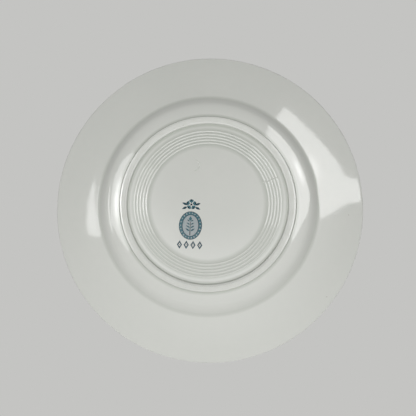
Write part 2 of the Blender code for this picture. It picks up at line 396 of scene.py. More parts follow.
def back_corners(shape):
    """Underside, from the lip in to the edge of the outer glaze on the foot ring."""
    edge = shape.rim_radius
    edge_thickness = shape.lip / math.cos(shape.lip_slope)
    bend, fillet = rim_bend(shape)
    top = wall_top(shape)
    half_shelf = shape.shelf / 2
    shelf_turn = shape.shelf_rise - shape.shelf_slope
    shelf_bend = SHELF_BEND_SHARE * half_shelf / math.tan(shelf_turn / 2)
    middle = shape.foot_shoulder + half_shelf * math.tan(shape.shelf_slope)
    shelf_end = middle + half_shelf * math.tan(shape.shelf_rise)
    foot = shape.foot_radius
    return [
        (edge, rim_height(shape, edge, edge_thickness), shape.lip / 2 * LIP_ROUNDNESS),
        (bend, rim_height(shape, bend, (edge_thickness + shape.rim) / 2), fillet),
        (top, rim_height(shape, top, shape.rim), shape.wall_fillet),
        (foot + shape.shelf, shelf_end, shape.shelf_fillet),
        (foot + half_shelf, middle, shelf_bend),
        (foot, shape.foot_shoulder, shape.foot_crease),
        (foot - shape.flank_run, shape.foot_crest, shape.foot_round),
        (foot - shape.bare_inset, shape.bare_drop, 0),
    ]


def reed_crest(shape, number):
    """Radius of a fine ring's crest, counted from the foot in."""
    outermost = shape.foot_radius - shape.foot_width - shape.reed_setback
    return outermost - number * shape.reed_pitch


def base_corners(shape):
    """Underside inside the foot ring, from the edge of the base glaze in to the axis."""
    inner = shape.foot_radius - shape.foot_width
    corners = [
        (inner + shape.bare_inset, shape.bare_drop, 0),
        (inner + shape.flank_run, shape.foot_crest, shape.foot_round),
        (inner, shape.recess, shape.foot_crease),
    ]
    for reed in range(shape.reeds):
        crest = reed_crest(shape, reed)
        corners.append((crest + shape.reed_reach, shape.recess, shape.reed_round))
        corners.append((crest, shape.recess - shape.reed_height, shape.reed_round))
        corners.append((crest - shape.reed_reach, shape.recess, shape.reed_round))
    corners.append((0, shape.recess, 0))
    return corners


def outer_surface(shape):
    """Outer glaze surface, from the well's centre round the lip to the foot ring."""
    return divided(rounded(face_corners(shape) + back_corners(shape)))


def base_surface(shape):
    """Base glaze surface, from the foot in to the axis."""
    return divided(rounded(base_corners(shape)))


# A crease's depth darkens the glaze there, as gathered glaze and as painted shade
def crease_pool_and_shade(path):
    """How deep each point of a path lies in a crease, from 0 to 1."""
    points = np.array(path)
    steps = np.hypot(*np.diff(points, axis=0).T)
    along = np.concatenate([[0], np.cumsum(steps)])
    values = []
    for place, point in zip(along, points):
        before = [np.interp(place - POOL_AND_SHADE_REACH, along, points[:, axis]) for axis in (0, 1)]
        after = [np.interp(place + POOL_AND_SHADE_REACH, along, points[:, axis]) for axis in (0, 1)]
        run, rise = heading(before, after)
        middle = (np.array(before) + np.array(after)) / 2 - point
        dip = run * middle[1] - rise * middle[0]
        values.append(float(np.clip(dip / POOL_AND_SHADE_DEPTH, 0, 1)))
    return values


def between_reeds(shape, path):
    """Crease darkness of the base's path: gathered glaze and painted shade, fine rings counted."""
    outermost = reed_crest(shape, 0)
    innermost = reed_crest(shape, shape.reeds - 1)
    valley = shape.recess - VALLEY_DEPTH
    return [
        # Valleys between the fine rings get at least this darkness: painted shade as well as
        # gathered glaze
        max(pool, VALLEY_POOL_AND_SHADE) if innermost < radius < outermost and height > valley else pool
        for (radius, height), pool in zip(path, crease_pool_and_shade(path))
    ]


# ---------------------------------------------------------------- node trees

def add(tree, kind, inputs=(), **settings):
    """Adds a node with its settings. An input given a node or a socket is linked to it."""
    made = tree.nodes.new(kind)
    for name, value in settings.items():
        setattr(made, name, value)
    for socket, value in dict(inputs).items():
        if isinstance(value, bpy.types.Node):
            value = value.outputs[0]
        if isinstance(value, bpy.types.NodeSocket):
            tree.links.new(value, made.inputs[socket])
        else:
            made.inputs[socket].default_value = value
    return made


def geometry_tree(name, sizes):
    """A Geometry Nodes tree with named inputs, its group input node, and their sockets."""
    tree = bpy.data.node_groups.new(name, "GeometryNodeTree")
    face = tree.interface
    face.new_socket("Geometry", in_out="OUTPUT", socket_type="NodeSocketGeometry")
    face.new_socket("Geometry", in_out="INPUT", socket_type="NodeSocketGeometry")
    for socket, kind in sizes.items():
        face.new_socket(socket, in_out="INPUT", socket_type=kind)
    return tree, tree.nodes.new("NodeGroupInput").outputs


def end_tree(tree, geometry, finish):
    """Closes a Geometry Nodes tree with real geometry and its material."""
    real = add(tree, "GeometryNodeRealizeInstances", {0: geometry})
    painted = add(tree, "GeometryNodeSetMaterial", {0: real, "Material": finish})
    tree.links.new(painted.outputs[0], tree.nodes.new("NodeGroupOutput").inputs[0])


def turning_tree():
    """Turns a profile about Z: points of the profile become rings, then the rim is warped."""
    tree, given = geometry_tree("turned_piece", {
        "Steps": "NodeSocketInt", "Warp": "NodeSocketFloat", "Warp Size": "NodeSocketFloat",
        "Warp From": "NodeSocketFloat", "Warp To": "NodeSocketFloat", "Seed": "NodeSocketFloat",
        "Finish": "NodeSocketMaterial",
    })
    count = add(tree, "GeometryNodeAttributeDomainSize", {0: given[0]})
    columns = add(tree, "ShaderNodeMath", {0: given["Steps"], 1: 1}, operation="ADD")
    grid = add(tree, "GeometryNodeMeshGrid", {
        "Size X": 1, "Size Y": 1, "Vertices X": count, "Vertices Y": columns,
    })
    spot = add(tree, "ShaderNodeSeparateXYZ", {0: add(tree, "GeometryNodeInputPosition")})
    last = add(tree, "ShaderNodeMath", {0: count, 1: 1}, operation="SUBTRACT")
    share = add(tree, "ShaderNodeMath", {0: spot.outputs["X"], 1: 0.5}, operation="ADD")
    place = add(tree, "ShaderNodeMath", {0: share, 1: last}, operation="MULTIPLY")
    index = add(tree, "ShaderNodeMath", {0: place}, operation="ROUND")
    where = add(tree, "GeometryNodeSampleIndex", {
        0: given[0], "Value": add(tree, "GeometryNodeInputPosition"), "Index": index,
    }, data_type="FLOAT_VECTOR")
    # Carries the crease darkness, gathered glaze and painted shade, from the profile to the rings
    pool = add(tree, "GeometryNodeInputNamedAttribute", {"Name": "pool"}, data_type="FLOAT")
    pooled_and_shaded = add(tree, "GeometryNodeSampleIndex", {0: given[0], "Value": pool, "Index": index})
    profile = add(tree, "ShaderNodeSeparateXYZ", {0: where})
    half = add(tree, "ShaderNodeMath", {0: spot.outputs["Y"], 1: 0.5}, operation="ADD")
    turn = add(tree, "ShaderNodeMath", {0: half, 1: math.tau}, operation="MULTIPLY")
    radius = profile.outputs["X"]
    sides = [
        add(tree, "ShaderNodeMath", {
            0: radius, 1: add(tree, "ShaderNodeMath", {0: turn}, operation=wave),
        }, operation="MULTIPLY")
        for wave in ("COSINE", "SINE")
    ]
    ring = add(tree, "ShaderNodeCombineXYZ", {0: sides[0], 1: sides[1]})
    scale = add(tree, "ShaderNodeMath", {0: 1, 1: given["Warp Size"]}, operation="DIVIDE")
    clouds = add(tree, "ShaderNodeTexNoise", {
        "Vector": ring, "W": given["Seed"], "Scale": scale, "Detail": 2,
    }, noise_dimensions="4D")
    swing = add(tree, "ShaderNodeMath", {0: clouds, 1: 0.5}, operation="SUBTRACT")
    grow = add(tree, "ShaderNodeMapRange", {
        0: radius, 1: given["Warp From"], 2: given["Warp To"],
    }, interpolation_type="SMOOTHSTEP")
    spread = add(tree, "ShaderNodeMath", {0: swing, 1: grow}, operation="MULTIPLY")
    double = add(tree, "ShaderNodeMath", {0: given["Warp"], 1: 2}, operation="MULTIPLY")
    lift = add(tree, "ShaderNodeMath", {0: spread, 1: double}, operation="MULTIPLY")
    level = add(tree, "ShaderNodeMath", {0: profile.outputs["Z"], 1: lift}, operation="ADD")
    point = add(tree, "ShaderNodeCombineXYZ", {0: sides[0], 1: sides[1], 2: level})
    marked = add(tree, "GeometryNodeStoreNamedAttribute", {
        0: grid, "Name": "pool", "Value": pooled_and_shaded,
    }, data_type="FLOAT", domain="POINT")
    turned = add(tree, "GeometryNodeSetPosition", {0: marked, "Position": point})
    closed = add(tree, "GeometryNodeMergeByDistance", {0: turned, "Distance": MERGE})
    end_tree(tree, closed, given["Finish"])
    return tree


def dash_tree():
    """Puts short flat dashes, square to the line, round an oval."""
    tree, given = geometry_tree("oval_dashes", {
        "Count": "NodeSocketInt", "Width": "NodeSocketFloat", "Height": "NodeSocketFloat",
        "Dash Length": "NodeSocketFloat", "Dash Width": "NodeSocketFloat",
        "Film": "NodeSocketFloat", "Seed": "NodeSocketInt", "Finish": "NodeSocketMaterial",
    })
    circle = add(tree, "GeometryNodeMeshCircle", {"Vertices": given["Count"], "Radius": 0.5})
    place = add(tree, "ShaderNodeSeparateXYZ", {0: add(tree, "GeometryNodeInputPosition")})
    wide = add(tree, "ShaderNodeMath", {
        0: place.outputs["X"], 1: given["Width"]}, operation="MULTIPLY")
    high = add(tree, "ShaderNodeMath", {
        0: place.outputs["Y"], 1: given["Height"]}, operation="MULTIPLY")
    oval = add(tree, "GeometryNodeSetPosition", {
        0: circle, "Position": add(tree, "ShaderNodeCombineXYZ", {0: wide, 1: high}),
    })
    size = add(tree, "ShaderNodeCombineXYZ", {
        0: given["Dash Length"], 1: given["Dash Width"], 2: given["Film"],
    })
    dash = add(tree, "GeometryNodeMeshCube", {"Size": size})
    facing = add(tree, "FunctionNodeAlignRotationToVector", {
        "Vector": add(tree, "GeometryNodeInputPosition"),
    }, axis="X", pivot_axis="Z")
    uneven = add(tree, "FunctionNodeRandomValue", {
        2: DASH_LEAST, 3: DASH_MOST, "Seed": given["Seed"]}, data_type="FLOAT")
    dashes = add(tree, "GeometryNodeInstanceOnPoints", {
        0: oval, "Instance": dash, "Rotation": facing, "Scale": uneven.outputs[1],
    })
    end_tree(tree, dashes, given["Finish"])
    return tree


def from_tree(name, mesh, tree, values):
    """The plain mesh that a Geometry Nodes tree makes of a mesh."""
    holder = bpy.data.objects.new(name, mesh)
    bpy.context.scene.collection.objects.link(holder)
    modifier = holder.modifiers.new("Make", "NODES")
    modifier.node_group = tree
    for item in tree.interface.items_tree:
        if item.in_out == "INPUT" and item.name in values:
            modifier[item.identifier] = values[item.name]
    graph = bpy.context.evaluated_depsgraph_get()
    made = bpy.data.meshes.new_from_object(holder.evaluated_get(graph))
    bpy.data.objects.remove(holder)
    return made


# ---------------------------------------------------------------- materials

def new_material(name):
    """A material, its tree, and its object coordinates."""
    made = bpy.data.materials.new(name)
    made.use_nodes = True
    made.node_tree.nodes.clear()
    return made, made.node_tree, add(made.node_tree, "ShaderNodeTexCoord").outputs["Object"]


def finish_material(tree, base, normal, roughness, ior):
    """Ends a material in a Principled shader."""
    shader = add(tree, "ShaderNodeBsdfPrincipled", {
        "Base Color": base, "Normal": normal, "Roughness": roughness, "IOR": ior,
    })
    add(tree, "ShaderNodeOutputMaterial", {"Surface": shader})


def mix(tree, factor, first, second):
    """Colour between first and second."""
    return add(tree, "ShaderNodeMix", {
        0: factor, 6: first, 7: second}, data_type="RGBA").outputs[2]


def noise(tree, spot, size, detail=3):
    """Noise whose features are a given size, in metres."""
    return add(tree, "ShaderNodeTexNoise", {"Vector": spot, "Scale": 1 / size, "Detail": detail})


def bump(tree, height, depth, under=None):
    """Bump of a depth in metres, over another normal."""
    inputs = {"Height": height, "Distance": depth, "Strength": 1}
    if under:
        inputs["Normal"] = under
    return add(tree, "ShaderNodeBump", inputs)


def opaque(rgb):
    """A colour property with its alpha."""
    return (*rgb, 1)


def china_glaze(name, light, deep, look):
    """Clear lead-free glaze over a white earthenware body, dipped and fired glossy.

    The eye sees a soft greenish grey white, cloudy over a hand's width and darker in
    the creases, where glaze gathers and where shade is also painted in, with a mirror gloss
    that ripples slightly, fine dimples, rare pinholes, and a few faint iron specks.
    """
    made, tree, spot = new_material(name)
    clouds = noise(tree, spot, look.clouds)
    mottle = noise(tree, spot, look.mottle)
    cloudy = mix(tree, clouds, opaque(deep), opaque(light))
    softer = add(tree, "ShaderNodeMapRange", {
        0: mottle, 1: MOTTLE_LOW, 2: MOTTLE_HIGH, 3: MOTTLE_STRENGTH, 4: 0})
    toned = mix(tree, softer, cloudy, opaque(deep))
    # Crease colour: partly glaze gathered in the crease, partly painted shade
    pool = add(tree, "ShaderNodeAttribute", attribute_name="pool")
    pooled_and_shaded = mix(tree, pool.outputs["Fac"], toned, opaque(look.pool))
    cells = add(tree, "ShaderNodeTexVoronoi", {"Vector": spot, "Scale": 1 / look.pits})
    rare = add(tree, "ShaderNodeSeparateColor", {0: cells.outputs["Color"]})
    chosen = add(tree, "ShaderNodeMath", {0: rare, 1: PITLESS_SHARE}, operation="GREATER_THAN")
    dot = add(tree, "ShaderNodeMapRange", {0: cells, 1: PIT_CORE, 2: PIT_EDGE, 3: 1, 4: 0})
    pit = add(tree, "ShaderNodeMath", {0: dot, 1: chosen}, operation="MULTIPLY")
    faint = add(tree, "ShaderNodeMath", {0: pit, 1: PIT_TINT}, operation="MULTIPLY")
    base = mix(tree, faint, pooled_and_shaded, opaque(look.speck))
    soft = bump(tree, noise(tree, spot, look.ripple, 1), RIPPLE_DEPTH)
    fine = bump(tree, noise(tree, spot, look.peel, 1), PEEL_DEPTH, soft)
    holed = bump(tree, pit, -PIT_DEPTH, fine)
    gloss = add(tree, "ShaderNodeMapRange", {
        0: mottle, 1: MOTTLE_LOW, 2: MOTTLE_HIGH, 3: GLOSS_LOW, 4: GLOSS_HIGH})
    finish_material(tree, base, holed, gloss, GLAZE_IOR)
    return made


def ground_biscuit(look):
    """Earthenware biscuit, ground flat and dry where the plate stands.

    The eye sees a matte greyish white, slightly stained, with a fine sandy grain.
    """
    made, tree, spot = new_material("earthenware_biscuit_ground")
    stain = noise(tree, spot, look.mottle)
    grain = noise(tree, spot, look.grain, 4)
    worn = add(tree, "ShaderNodeMapRange", {0: stain, 1: STAIN_LOW, 2: STAIN_HIGH})
    base = mix(tree, worn, opaque(look.body), opaque(look.body_worn))
    rough = add(tree, "ShaderNodeMapRange", {0: grain, 3: BISCUIT_SMOOTH, 4: BISCUIT_ROUGH})
    finish_material(tree, base, bump(tree, grain, GRAIN_DEPTH), rough, BISCUIT_IOR)
    return made


def underglaze_ink(name, thick, thin, worn_share, look, ripple_size):
    """Blue-green transfer ink under clear glaze.

    The eye sees glossy ink in patches, thick here and worn thin there, thinner on the side
    where the transfer was pressed less, and broken into fine dots at its weakest.
    """
    made, tree, spot = new_material(name)
    patches = noise(tree, spot, look.patch, 4)
    dots = noise(tree, spot, look.dots, 2)
    both = add(tree, "ShaderNodeMath", {0: patches, 1: dots}, operation="ADD")
    across = add(tree, "ShaderNodeSeparateXYZ", {0: spot}).outputs["X"]
    pressed = add(tree, "ShaderNodeMapRange", {
        0: across, 1: OVAL_LOW.x, 2: OVAL_HIGH.x, 3: PRESSED_SHIFT, 4: -PRESSED_SHIFT})
    uneven = add(tree, "ShaderNodeMath", {0: both, 1: pressed}, operation="ADD")
    start = WEAR_LEVEL - worn_share
    worn = add(tree, "ShaderNodeMapRange", {
        0: uneven, 1: start, 2: start + WEAR_FADE}, interpolation_type="SMOOTHSTEP")
    base = mix(tree, worn, opaque(thick), opaque(thin))
    ripple = bump(tree, noise(tree, spot, ripple_size, 1), RIPPLE_DEPTH)
    finish_material(tree, base, ripple, INK_GLOSS, GLAZE_IOR)
    return made


def floor_paint(rgb):
    """Matte emulsion paint on the floor, clear from below so that the plate's back shows.

    The eye sees an even pale grey with a faint, very broad mottle and no gloss.
    """
    made, tree, spot = new_material("floor_paint")
    darker = tuple(part * PAINT_SHADE for part in rgb)
    base = mix(tree, noise(tree, spot, PAINT_MOTTLE), opaque(rgb), opaque(darker))
    paint = add(tree, "ShaderNodeBsdfDiffuse", {"Color": base})
    below = add(tree, "ShaderNodeNewGeometry").outputs["Backfacing"]
    clear = add(tree, "ShaderNodeBsdfTransparent")
    seen = add(tree, "ShaderNodeMixShader", {0: below, 1: paint, 2: clear})
    add(tree, "ShaderNodeOutputMaterial", {"Surface": seen})
    return made


# ---------------------------------------------------------------- finishing pieces

def finished(name, mesh, slot, nodes=()):
    """Puts a mesh in the scene as a piece of the plate."""
    cleaned = bmesh.new()
    cleaned.from_mesh(mesh)
    bmesh.ops.remove_doubles(cleaned, verts=cleaned.verts, dist=MERGE)
    bmesh.ops.recalc_face_normals(cleaned, faces=cleaned.faces)
    cleaned.to_mesh(mesh)
    cleaned.free()
    mesh.shade_smooth()
    mesh.set_sharp_from_angle(angle=SHARP)
    piece = bpy.data.objects.new(name, mesh)
    bpy.context.scene.collection.objects.link(piece)
    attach(piece, BODY)
    if nodes:
        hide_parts(*nodes)
    return piece


def turned(name, outline, pools_and_shade, finish, shape, slot, node):
    """A turned piece of the plate from its (radius, height) outline."""
    mesh = bpy.data.meshes.new(name + "_profile")
    points = [(radius, 0, height) for radius, height in outline]
    mesh.from_pydata(points, [(index, index + 1) for index in range(len(points) - 1)], [])
    # Crease darkness per profile point, gathered glaze and painted shade, rides along as an
    # attribute
    mesh.attributes.new("pool", "FLOAT", "POINT").data.foreach_set("value", pools_and_shade)
    made = from_tree(name, mesh, turning_tree(), {
        "Steps": TURN_STEPS, "Warp": shape.warp, "Warp Size": shape.warp_size,
        "Warp From": shape.foot_radius, "Warp To": shape.rim_radius, "Seed": WARP_SEED,
        "Finish": finish,
    })
    return finished(name, made, slot, [node])


def coat(name, surface, pools_and_shade, finish, shape, node):
    """A glaze coat: a surface, and its back one glaze thickness inside it.

    The outline has to start and end on the axis where the surface touches it.
    """
    back = inset(surface, shape.glaze)[::-1]
    dry = [0.0] * len(back)
    starts_on_axis = surface[0][0] == 0
    outline = surface + back if starts_on_axis else back + surface
    pools_and_shade = pools_and_shade + dry if starts_on_axis else dry + pools_and_shade
    return turned(name, outline, pools_and_shade, finish, shape, "glaze", node)


def flat_layer(outlines, place, turn, low, high, finish):
    """A thin flat mesh between two heights from closed outlines about a place."""
    curve = bpy.data.curves.new("outline", "CURVE")
    curve.dimensions = "2D"
    curve.fill_mode = "BOTH"
    curve.extrude = (high - low) / 2
    for outline in outlines:
        spline = curve.splines.new("POLY")
        spline.points.add(len(outline) - 1)
        for point, (x, y) in zip(spline.points, outline):
            point.co = (x, y, 0, 1)
        spline.use_cyclic_u = True
    curve.materials.append(finish)
    holder = bpy.data.objects.new("outline", curve)
    bpy.context.scene.collection.objects.link(holder)
    graph = bpy.context.evaluated_depsgraph_get()
    mesh = bpy.data.meshes.new_from_object(holder.evaluated_get(graph))
    bpy.data.objects.remove(holder)
    where = Matrix.Translation((place[0], place[1], (low + high) / 2))
    mesh.transform(where @ Matrix.Rotation(turn, 4, "Z"))
    return mesh


def joined(name, meshes):
    """One mesh from several, which keep their own materials."""
    together = bmesh.new()
    result = bpy.data.meshes.new(name)
    for mesh in meshes:
        slots = []
        for finish in mesh.materials:
            if finish.name not in result.materials:
                result.materials.append(finish)
            slots.append(result.materials.find(finish.name))
        start = len(together.faces)
        together.from_mesh(mesh)
        together.faces.ensure_lookup_table()
        for face in together.faces[start:]:
            face.material_index = slots[face.material_index]
    together.to_mesh(result)
    together.free()
    return result


# ---------------------------------------------------------------- print outlines

def oval(width, height, points=96):
    """Points round an oval."""
    turns = [math.tau * step / points for step in range(points)]
    return [(width / 2 * math.cos(turn), height / 2 * math.sin(turn)) for turn in turns]


def oval_ring(width, height, line):
    """The two outlines of an oval line."""
    return [oval(width, height), oval(width - 2 * line, height - 2 * line)]


def moved(outline, x, y, turn=0.0):
    """An outline turned, then moved."""
    along, across = math.cos(turn), math.sin(turn)
    return [
        (x + px * along - py * across, y + px * across + py * along)
        for px, py in outline
    ]


def leaf(span, width, points=14):
    """A pointed leaf that starts at the origin and grows along +X."""
    edge = [
        (span * step / points, width / 2 * math.sin(math.pi * (step / points) ** LEAF_LEAN))
        for step in range(1, points)
    ]
    return [(0, 0)] + edge + [(span, 0)] + [(x, -y) for x, y in reversed(edge)]


def pointing(outline, place, turn, start=0.0):
    """An outline that grows along +X, moved to a place and turned, a little way out from it."""
    x = place[0] + start * math.cos(turn)
    y = place[1] + start * math.sin(turn)
    return moved(outline, x, y, turn)


def stroke(start, end, line):
    """A straight stroke that thins towards its end."""
    run, rise = heading(start, end)
    side = (-rise * line / 2, run * line / 2)
    return [
        (start[0] + side[0], start[1] + side[1]), (start[0] - side[0], start[1] - side[1]),
        (end[0] - side[0] * STROKE_TAPER, end[1] - side[1] * STROKE_TAPER),
        (end[0] + side[0] * STROKE_TAPER, end[1] + side[1] * STROKE_TAPER),
    ]


def petal(reach, width, points=18):
    """A round petal that starts near the origin and grows along +X."""
    start = reach / 4
    edge = []
    for step in range(1, points):
        share = step / points
        bulge = math.sin(math.pi * share ** PETAL_LEAN) ** PETAL_FULLNESS
        edge.append((start + (reach - start) * share, width / 2 * bulge))
    return [(start, 0)] + edge + [(reach, 0)] + [(x, -y) for x, y in reversed(edge)]


def lozenge(width, height):
    """Four corners of a lozenge."""
    return [(width / 2, 0), (0, height / 2), (-width / 2, 0), (0, -height / 2)]


# ---------------------------------------------------------------- operators

class PLATE_OT_fired_body(bpy.types.Operator):
    """Build the fired earthenware body, which shows at the foot's ground edge"""
    bl_idname = "plate.fired_body"
    bl_label = "Fired Body"

    def execute(self, context):
        shape = context.scene.plate_shape
        cover = shape.glaze + BODY_GAP
        outer = inset(outer_surface(shape), cover)
        inner = inset(base_surface(shape), cover)
        outside = shape.foot_radius - shape.bare_inset - BODY_GAP
        inside = shape.foot_radius - shape.foot_width + shape.bare_inset + BODY_GAP
        outline = outer[:-1] + [(outside, outer[-1][1]), (outside, 0), (inside, 0)]
        outline += [(inside, inner[0][1])] + inner[1:]
        dry = [0.0] * len(outline)
        finish = ground_biscuit(context.scene.plate_glaze)
        turned("fired_body", outline, dry, finish, shape, "fired_body", "plate_body")
        return {"FINISHED"}


class PLATE_OT_outer_glaze(bpy.types.Operator):
    """Build the glaze coat over the well, the rim and the outer back"""
    bl_idname = "plate.outer_glaze"
    bl_label = "Outer Glaze"

    def execute(self, context):
        shape = context.scene.plate_shape
        look = context.scene.plate_glaze
        finish = china_glaze("china_glaze_outer", look.glaze, look.deep, look)
        surface = outer_surface(shape)
        # Darker creases: gathered glaze and painted shade
        coat("outer_glaze_coat", surface, crease_pool_and_shade(surface), finish, shape, "glaze_outer")
        return {"FINISHED"}


class PLATE_OT_base_glaze(bpy.types.Operator):
    """Build the glaze coat over the reeded base inside the foot ring"""
    bl_idname = "plate.base_glaze"
    bl_label = "Base Glaze"

    def execute(self, context):
        shape = context.scene.plate_shape
        look = context.scene.plate_glaze
        finish = china_glaze("china_glaze_base", look.base_glaze, look.base_deep, look)
        surface = base_surface(shape)
        # Darker creases and ring valleys: gathered glaze and painted shade
        pools_and_shade = between_reeds(shape, surface)
        coat("base_glaze_coat", surface, pools_and_shade, finish, shape, "glaze_base")
        return {"FINISHED"}


class PLATE_OT_kiln_marks(bpy.types.Operator):
    """Add the kiln's marks on the base: a ridge across the fine rings and a shallow crescent"""
    bl_idname = "plate.kiln_marks"
    bl_label = "Kiln Marks"

    def execute(self, context):
        shape = context.scene.plate_shape
        look = context.scene.plate_glaze
        # The beads' deeper tone is the crease colour, partly gathered glaze and partly painted shade
        finish = china_glaze("china_glaze_marks", look.base_glaze, look.pool, look)
        far = reed_crest(shape, -RIDGE_OUTSIDE)
        near = reed_crest(shape, shape.reeds - 1 + RIDGE_INSIDE)
        ridge = [
            (radius * math.cos(RIDGE_TURN), radius * math.sin(RIDGE_TURN))
            for radius in (near, (near + far) / 2, far)
        ]
        self.bead("glaze_ridge", ridge, RIDGE_RADIUS, shape.recess - RIDGE_SINK, finish)
        turns = [math.radians(degrees) for degrees in range(-80, 101, 12)]
        crescent = [
            (CRESCENT_CENTRE[0] + CRESCENT_REACH[0] * math.cos(turn),
             CRESCENT_CENTRE[1] + CRESCENT_REACH[1] * math.sin(turn))
            for turn in turns
        ]
        self.bead("glaze_crescent", crescent, CRESCENT_RADIUS, shape.recess, finish)
        return {"FINISHED"}

    def bead(self, name, route, radius, height, finish):
        """A low rounded bead of glaze along a route, tapered at its ends and half sunk."""
        curve = bpy.data.curves.new(name, "CURVE")
        curve.dimensions = "3D"
        curve.bevel_depth = radius
        curve.bevel_resolution = 4
        curve.use_fill_caps = True
        spline = curve.splines.new("NURBS")
        spline.points.add(len(route) - 1)
        for index, (point, (x, y)) in enumerate(zip(spline.points, route)):
            point.co = (x, y, 0, 1)
            swell = math.sin(math.pi * (index + 0.5) / len(route))
            point.radius = BEAD_END + (1 - BEAD_END) * swell
        spline.use_endpoint_u = True
        spline.order_u = 3
        spline.resolution_u = 6
        curve.materials.append(finish)
        holder = bpy.data.objects.new(name, curve)
        bpy.context.scene.collection.objects.link(holder)
        graph = bpy.context.evaluated_depsgraph_get()
        mesh = bpy.data.meshes.new_from_object(holder.evaluated_get(graph))
        bpy.data.objects.remove(holder)
        flat = Matrix.Diagonal((1, 1, BEAD_FLATNESS, 1))
        mesh.transform(Matrix.Translation((0, 0, height)) @ flat)
        finished(name, mesh, "glaze")


class PLATE_OT_print(bpy.types.Operator):
    """Lay the underglaze print: a flower, a sprig in an oval band and a row of lozenges"""
    bl_idname = "plate.print"
    bl_label = "Print"

    def execute(self, context):
        look = context.scene.plate_print
        ripple = context.scene.plate_glaze.ripple
        surface = context.scene.plate_shape.recess
        inks = {
            kind: underglaze_ink(name, getattr(look, thick), getattr(look, thin), worn, look, ripple)
            for kind, (name, thick, thin, worn) in PASSES.items()
        }
        passes = list(inks)

        def layer(kind, shapes, place):
            """One pass of ink over shapes, each an outline and its holes, that don't touch."""
            low = surface - look.film * (1 + passes.index(kind))
            return flat_layer(shapes, place, look.turn, low, surface + look.film, inks[kind])

        self.oval(look, layer, inks, surface)
        self.sprig(look, layer)
        self.flower(look, layer)
        self.lozenges(look, layer)
        return {"FINISHED"}

    def piece(self, name, layers, nodes):
        """One piece of the print from its passes of ink."""
        finished(name, joined(name, layers), "underglaze_print", nodes)

    def oval(self, look, layer, inks, surface):
        """Band between two dark lines, pale dashes in it, and the pale field."""
        middle = (OVAL_LOW + OVAL_HIGH) / 2
        size = OVAL_HIGH - OVAL_LOW
        inner = (size.x - 2 * look.band, size.y - 2 * look.band)
        edges = oval_ring(size.x, size.y, look.line)
        edges += oval_ring(inner[0] + look.line, inner[1] + look.line, look.line)
        layers = [
            layer("field", [oval(*inner)], middle),
            layer("fill", oval_ring(size.x, size.y, look.band), middle),
            layer("ink", edges, middle),
        ]
        self.piece("print_oval_band", layers, ["print_oval"])
        dashes = from_tree("dashes", bpy.data.meshes.new("dashes"), dash_tree(), {
            "Count": look.dashes, "Width": size.x - look.band, "Height": size.y - look.band,
            "Dash Length": look.band - 3 * look.line, "Dash Width": look.dash,
            "Film": look.film * DASH_FILMS, "Seed": DASH_SEED, "Finish": inks["field"],
        })
        where = Matrix.Translation((middle.x, middle.y, surface - look.film))
        dashes.transform(where @ Matrix.Rotation(look.turn, 4, "Z"))
        finished("print_oval_dashes", dashes, "underglaze_print")

    def sprig(self, look, layer):
        """Stem, paired leaves and a bud, with dark veins."""
        middle = (SPRIG_LOW + SPRIG_HIGH) / 2
        size = SPRIG_HIGH - SPRIG_LOW
        foot = size.y / 2
        stem = stroke((0, foot), (0, -foot * STEM_TOP), look.line * STEM_LINES)
        blades = []
        veins = []
        for pair in range(look.leaves):
            height = foot * (LEAF_START - LEAF_STEP * pair)
            span = size.x * (LEAF_SPAN - LEAF_SHRINK * pair)
            for side in (-1, 1):
                turn = -math.pi / 2 + side * LEAF_TURN
                blade = leaf(span, span * LEAF_WIDTH)
                blades.append(pointing(blade, (0, height), turn, look.line))
                start, end = (span * VEIN_START, 0), (span * VEIN_END, 0)
                vein = stroke(start, end, look.line * VEIN_LINES)
                veins.append(pointing(vein, (0, height), turn, look.line))
        bud = leaf(size.y * BUD_SPAN, size.x * BUD_WIDTH)
        bud = pointing(bud, (0, -foot * BUD_PLACE), -math.pi / 2)
        layers = [layer("fill", blades + [bud], middle), layer("dark", veins + [stem], middle)]
        self.piece("print_sprig_leaves", layers, ["print_sprig"])

    def flower(self, look, layer):
        """Open flower between two pairs of leaves, with dark tips and a dark eye."""
        middle = (FLOWER_LOW + FLOWER_HIGH) / 2
        reach = (FLOWER_HIGH.y - FLOWER_LOW.y) / 2
        spread = math.pi * 2 / look.petals
        petals = []
        spots = [oval(reach * EYE_WIDTH, reach * EYE_WIDTH, SPOT_POINTS)]
        tip = oval(reach * TIP_SIZE[0], reach * TIP_SIZE[1], SPOT_POINTS)
        for number in range(look.petals):
            turn = spread * number - math.pi / 2
            petals.append(pointing(petal(reach, reach * PETAL_WIDTH), (0, 0), turn))
            spots.append(pointing(tip, (0, 0), turn, reach * TIP_PLACE))
        leaves = []
        for side in (-1, 1):
            for lift, drop in SIDE_LEAVES:
                turn = side * (math.pi / 2 - lift) - math.pi / 2
                base = (side * reach * SIDE_PLACE, reach * drop)
                leaves.append(pointing(leaf(reach * SIDE_SPAN, reach * SIDE_WIDTH), base, turn))
        layers = [
            layer("fill", petals, middle),
            layer("ink", leaves, middle),
            layer("dark", spots, middle),
        ]
        self.piece("print_flower_head", layers, ["print_flower"])

    def lozenges(self, look, layer):
        """Row of outlined lozenges, each with a dot."""
        for number, node in enumerate(LOZENGES, 1):
            low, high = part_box(node)
            size = high - low
            middle = (low + high) / 2
            hole = lozenge(size.x * LOZENGE_HOLE, size.y * LOZENGE_HOLE)
            ring = [lozenge(size.x, size.y), hole]
            dot = [oval(size.x * LOZENGE_DOT[0], size.x * LOZENGE_DOT[1], DOT_POINTS)]
            layers = [layer("ink", ring, middle), layer("dark", dot, middle)]
            self.piece(f"print_row_lozenge_{number}", layers, [node])


